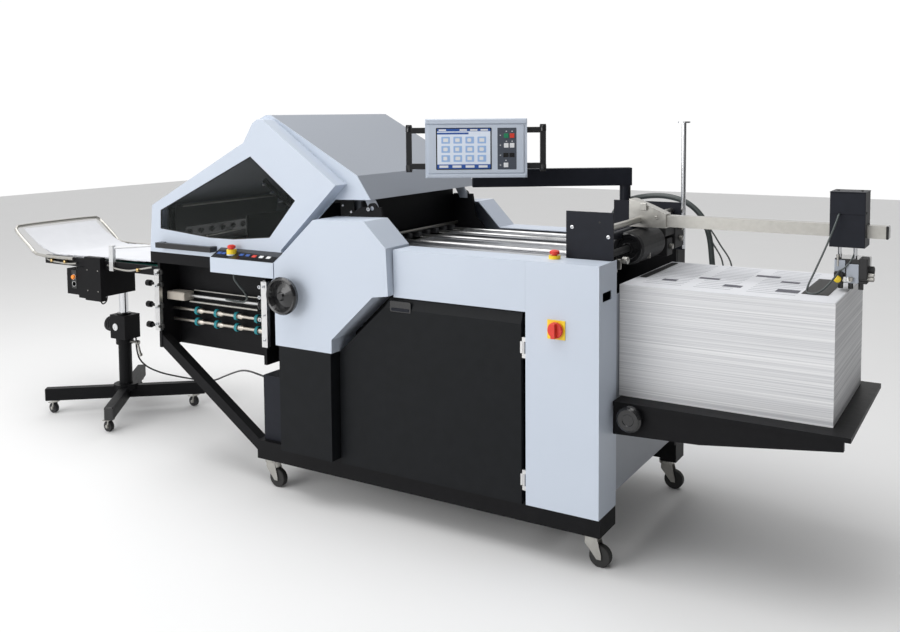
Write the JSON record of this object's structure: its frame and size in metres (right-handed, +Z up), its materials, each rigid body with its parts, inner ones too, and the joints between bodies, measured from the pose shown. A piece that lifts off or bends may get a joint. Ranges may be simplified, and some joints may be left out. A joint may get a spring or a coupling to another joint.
{
  "type": "cross folding machine for printed sheets",
  "caption": "Floor-standing cross folder with a pile feeder, register table, hooded fold unit, swinging touch panel and a free-standing delivery conveyor.",
  "frame": {"origin": "on the floor under the middle of the whole part's box, cords left out", "axes": "+X towards the pile feeder, -Y the operator's side, +Z up"},
  "size_m": [4.0746, 1.043, 1.4947],
  "materials": {
    "pale_blue_grey_paint": "satin powder coat",
    "mid_grey_paint": "satin powder coat",
    "black_powder_coat": "fine-textured powder coat",
    "charcoal_powder_coat": "fine-textured powder coat",
    "bright_steel": "ground",
    "zinc_plate": "zinc plated",
    "chrome": "polished",
    "teal_rubber": "satin",
    "beige_paint": "satin",
    "smoked_window": "clear smoked sheet",
    "black_gloss_plastic": "glossy",
    "red_plastic": "satin",
    "white_paper": "matt sheet edges",
    "black_rubber": "matt",
    "grey_hose": "satin"
  },
  "bodies": {
    "machine": {"base_frame": "black_powder_coat", "side_plate_front": "black_powder_coat", "side_plate_rear": "black_powder_coat", "column_cover": "pale_blue_grey_paint", "beam_cover": "pale_blue_grey_paint", "fold_side_cover": "pale_blue_grey_paint", "lower_front_panel": "black_powder_coat", "rear_cover": "pale_blue_grey_paint", "end_panel": "mid_grey_paint", "register_bed": "bright_steel", "register_rods": "bright_steel", "feeder_front_plate": "charcoal_powder_coat", "feeder_rear_plate": "charcoal_powder_coat", "sucker_arm": "zinc_plate", "sub_panel": "pale_blue_grey_paint", "fold_unit_frame": "black_powder_coat", "slitter_drive": "beige_paint", "fold_unit_brace": "black_powder_coat", "pump_box": "charcoal_powder_coat", "buckle_plate": "zinc_plate", "stand_base": "black_powder_coat", "link_cable": "grey_hose", "feeder_hose": "grey_hose"},
    "door": {"front_door": "black_powder_coat"},
    "hood": {"hood_front_shell": "pale_blue_grey_paint", "hood_window": "smoked_window", "hood_rear_shell": "mid_grey_paint"},
    "hand_wheel": {"handwheel": "black_gloss_plastic"},
    "upper_nip_shaft": {"nip_shaft_upper": "teal_rubber"},
    "lower_nip_shaft": {"nip_shaft_lower": "teal_rubber"},
    "folding_roller": {"fold_roller": "bright_steel"},
    "feeder_drum": {"feed_drum": "black_gloss_plastic"},
    "lift_table": {"pile_table": "black_powder_coat", "paper_pile": "white_paper"},
    "guide_knob": {"table_knob": "black_gloss_plastic"},
    "panel_arm": {"control_arm": "charcoal_powder_coat"},
    "panel": {"touch_panel": "pale_blue_grey_paint"},
    "suction_box": {"sucker_box": "charcoal_powder_coat"},
    "suction_head": {"sucker_head": "black_gloss_plastic", "air_tube": "grey_hose"},
    "main_switch": {"main_switch_knob": "red_plastic"},
    "stop_button": {"estop_button": "red_plastic"},
    "unit_stop_button": {"sub_panel_button": "red_plastic"},
    "clamp_handle": {"clamp_lever": "zinc_plate"},
    "delivery_head": {"stand_pole": "chrome", "conveyor_bed": "black_powder_coat", "drive_box": "black_powder_coat"},
    "catcher": {"catcher_frame": "zinc_plate"},
    "fork_left_front": {"caster_fork_left_front": "zinc_plate"},
    "wheel_left_front": {"caster_wheel_left_front": "black_rubber"},
    "fork_left_rear": {"caster_fork_left_rear": "zinc_plate"},
    "wheel_left_rear": {"caster_wheel_left_rear": "black_rubber"},
    "fork_right_front": {"caster_fork_right_front": "zinc_plate"},
    "wheel_right_front": {"caster_wheel_right_front": "black_rubber"},
    "fork_right_rear": {"caster_fork_right_rear": "zinc_plate"},
    "wheel_right_rear": {"caster_wheel_right_rear": "black_rubber"},
    "stand_fork_1": {"stand_caster_1": "zinc_plate"},
    "stand_fork_2": {"stand_caster_2": "zinc_plate"},
    "stand_fork_3": {"stand_caster_3": "zinc_plate"},
    "stand_fork_4": {"stand_caster_4": "zinc_plate"}
  },
  "joints": [
    {"name": "door_hinge", "type": "hinge", "parent": "machine", "child": "door", "pos_m": [0.99127, -0.4195, 0.49969], "axis": [0, 0, 1], "range_deg": [0, 100]},
    {"name": "hood_hinge", "type": "hinge", "parent": "machine", "child": "hood", "pos_m": [0.29927, 0.0365, 1.14169], "axis": [0, 1, 0], "range_deg": [0, 35]},
    {"name": "roller_spin", "type": "hinge", "parent": "machine", "child": "folding_roller", "pos_m": [0.18927, 0.0365, 0.97469], "axis": [0, 1, 0], "continuous": true},
    {"name": "handwheel_spin", "type": "hinge", "parent": "machine", "child": "hand_wheel", "pos_m": [0.02227, -0.4235, 0.81669], "axis": [0, 1, 0], "continuous": true},
    {"name": "upper_nip_spin", "type": "hinge", "parent": "machine", "child": "upper_nip_shaft", "pos_m": [-0.45073, -0.2985, 0.65669], "axis": [1, 0, 0], "continuous": true},
    {"name": "lower_nip_spin", "type": "hinge", "parent": "machine", "child": "lower_nip_shaft", "pos_m": [-0.45073, -0.2985, 0.60869], "axis": [1, 0, 0], "continuous": true},
    {"name": "drum_spin", "type": "hinge", "parent": "machine", "child": "feeder_drum", "pos_m": [1.22927, 0.0365, 1.02569], "axis": [0, 1, 0], "continuous": true},
    {"name": "table_lift", "type": "slide", "parent": "machine", "child": "lift_table", "axis": [0, 0, 1], "range_m": [-0.33, 0]},
    {"name": "knob_turn", "type": "hinge", "parent": "lift_table", "child": "guide_knob", "pos_m": [1.32527, -0.3055, 0.50469], "axis": [0, 1, 0], "continuous": true},
    {"name": "arm_swing", "type": "hinge", "parent": "machine", "child": "panel_arm", "pos_m": [1.02627, 0.4115, 1.19969], "axis": [0, 0, 1], "range_deg": [0, 60]},
    {"name": "panel_tilt", "type": "hinge", "parent": "panel_arm", "child": "panel", "pos_m": [0.5468, 0.08073, 1.30469], "axis": [0.8554, 0.518, 0], "range_deg": [-10, 20]},
    {"name": "box_slide", "type": "slide", "parent": "machine", "child": "suction_box", "axis": [1, 0, 0], "range_m": [-0.3, 0.04]},
    {"name": "head_stroke", "type": "slide", "parent": "suction_box", "child": "suction_head", "axis": [0, 0, 1], "range_m": [0, 0.02]},
    {"name": "switch_turn", "type": "hinge", "parent": "machine", "child": "main_switch", "pos_m": [1.11177, -0.4335, 0.79369], "axis": [0, 1, 0], "range_deg": [0, 90]},
    {"name": "stop_press", "type": "slide", "parent": "machine", "child": "stop_button", "axis": [0, 0, -1], "range_m": [0, 0.004], "stiffness_N_per_m": 800},
    {"name": "unit_stop_press", "type": "slide", "parent": "machine", "child": "unit_stop_button", "axis": [0, 0, -1], "range_m": [0, 0.004], "stiffness_N_per_m": 800},
    {"name": "clamp_turn", "type": "hinge", "parent": "machine", "child": "clamp_handle", "pos_m": [-1.43073, 0.0235, 0.35769], "axis": [1, 0, 0], "range_deg": [-90, 90]},
    {"name": "height_slide", "type": "slide", "parent": "machine", "child": "delivery_head", "axis": [0, 0, 1], "range_m": [-0.04, 0.15]},
    {"name": "catcher_slide", "type": "slide", "parent": "delivery_head", "child": "catcher", "axis": [1, 0, 0], "range_m": [-0.05, 0.05]},
    {"name": "swivel_left_front", "type": "hinge", "parent": "machine", "child": "fork_left_front", "pos_m": [-0.17573, -0.3575, 0.07969], "axis": [0, 0, 1], "continuous": true},
    {"name": "roll_left_front", "type": "hinge", "parent": "fork_left_front", "child": "wheel_left_front", "pos_m": [-0.14573, -0.3575, 0.03719], "axis": [0, 1, 0], "continuous": true},
    {"name": "swivel_left_rear", "type": "hinge", "parent": "machine", "child": "fork_left_rear", "pos_m": [-0.17573, 0.4345, 0.07969], "axis": [0, 0, 1], "continuous": true},
    {"name": "roll_left_rear", "type": "hinge", "parent": "fork_left_rear", "child": "wheel_left_rear", "pos_m": [-0.14573, 0.4345, 0.03719], "axis": [0, 1, 0], "continuous": true},
    {"name": "swivel_right_front", "type": "hinge", "parent": "machine", "child": "fork_right_front", "pos_m": [1.20527, -0.3455, 0.07969], "axis": [0, 0, 1], "continuous": true},
    {"name": "roll_right_front", "type": "hinge", "parent": "fork_right_front", "child": "wheel_right_front", "pos_m": [1.23527, -0.3455, 0.03719], "axis": [0, 1, 0], "continuous": true},
    {"name": "swivel_right_rear", "type": "hinge", "parent": "machine", "child": "fork_right_rear", "pos_m": [1.20527, 0.4185, 0.07969], "axis": [0, 0, 1], "continuous": true},
    {"name": "roll_right_rear", "type": "hinge", "parent": "fork_right_rear", "child": "wheel_right_rear", "pos_m": [1.23527, 0.4185, 0.03719], "axis": [0, 1, 0], "continuous": true},
    {"name": "stand_swivel_1", "type": "hinge", "parent": "machine", "child": "stand_fork_1", "pos_m": [-1.76634, -0.19362, 0.03969], "axis": [0, 0, 1], "continuous": true},
    {"name": "stand_swivel_2", "type": "hinge", "parent": "machine", "child": "stand_fork_2", "pos_m": [-1.23011, 0.24062, 0.03969], "axis": [0, 0, 1], "continuous": true},
    {"name": "stand_swivel_3", "type": "hinge", "parent": "machine", "child": "stand_fork_3", "pos_m": [-1.71063, 0.29536, 0.03969], "axis": [0, 0, 1], "continuous": true},
    {"name": "stand_swivel_4", "type": "hinge", "parent": "machine", "child": "stand_fork_4", "pos_m": [-1.28582, -0.24836, 0.03969], "axis": [0, 0, 1], "continuous": true}
  ],
  "couplings": [
    {"joint": "handwheel_spin", "follows": "roller_spin", "ratio": 1},
    {"joint": "upper_nip_spin", "follows": "roller_spin", "ratio": 2},
    {"joint": "lower_nip_spin", "follows": "roller_spin", "ratio": -2}
  ]
}
